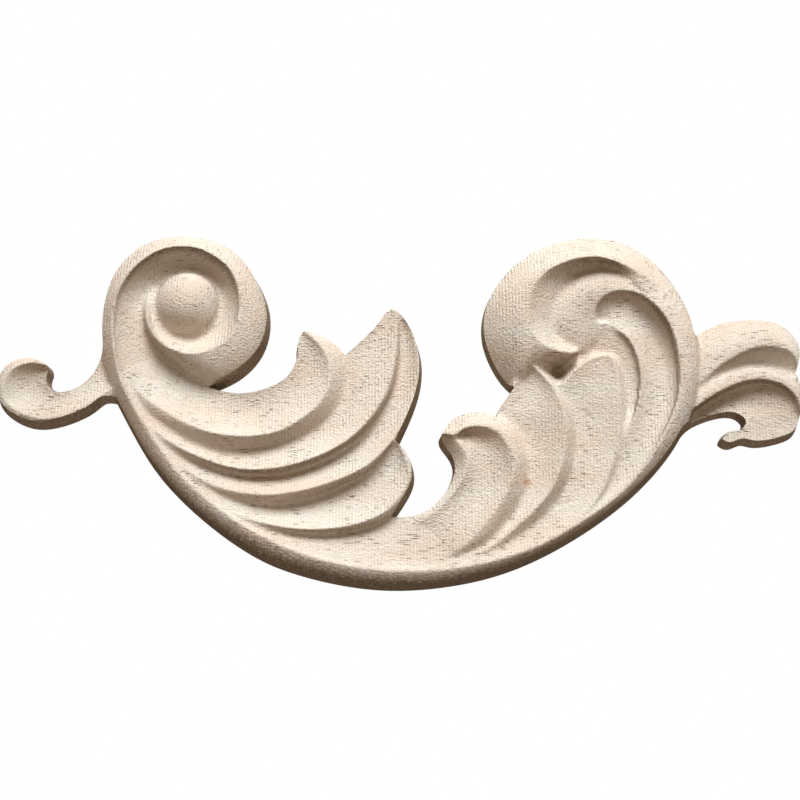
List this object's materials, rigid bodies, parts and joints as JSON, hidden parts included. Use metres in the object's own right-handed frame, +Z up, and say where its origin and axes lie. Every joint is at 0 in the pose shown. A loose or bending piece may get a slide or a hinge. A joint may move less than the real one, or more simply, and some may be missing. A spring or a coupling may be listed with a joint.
{
  "type": "carved wood applique",
  "caption": "Crescent scroll carved in pale bare wood, with a ball volute, two leaf fans, a pocketed volute, curled ends and a flat back for gluing to furniture or a panel.",
  "frame": {"origin": "a point of the flat back behind the belly of the crescent, where the carving is fixed", "axes": "+X to the curled double tail, +Z up with the volutes at the top, +Y into the wall or panel, so the carved face looks along -Y"},
  "size_m": [0.2, 0.0135, 0.0889],
  "materials": {
    "bare_wood": "pale cream hardwood, sanded lightly and left raw, with short dark pores and fine cutter lines"
  },
  "bodies": {
    "root": {"scroll_applique": "bare_wood"}
  },
  "joints": []
}
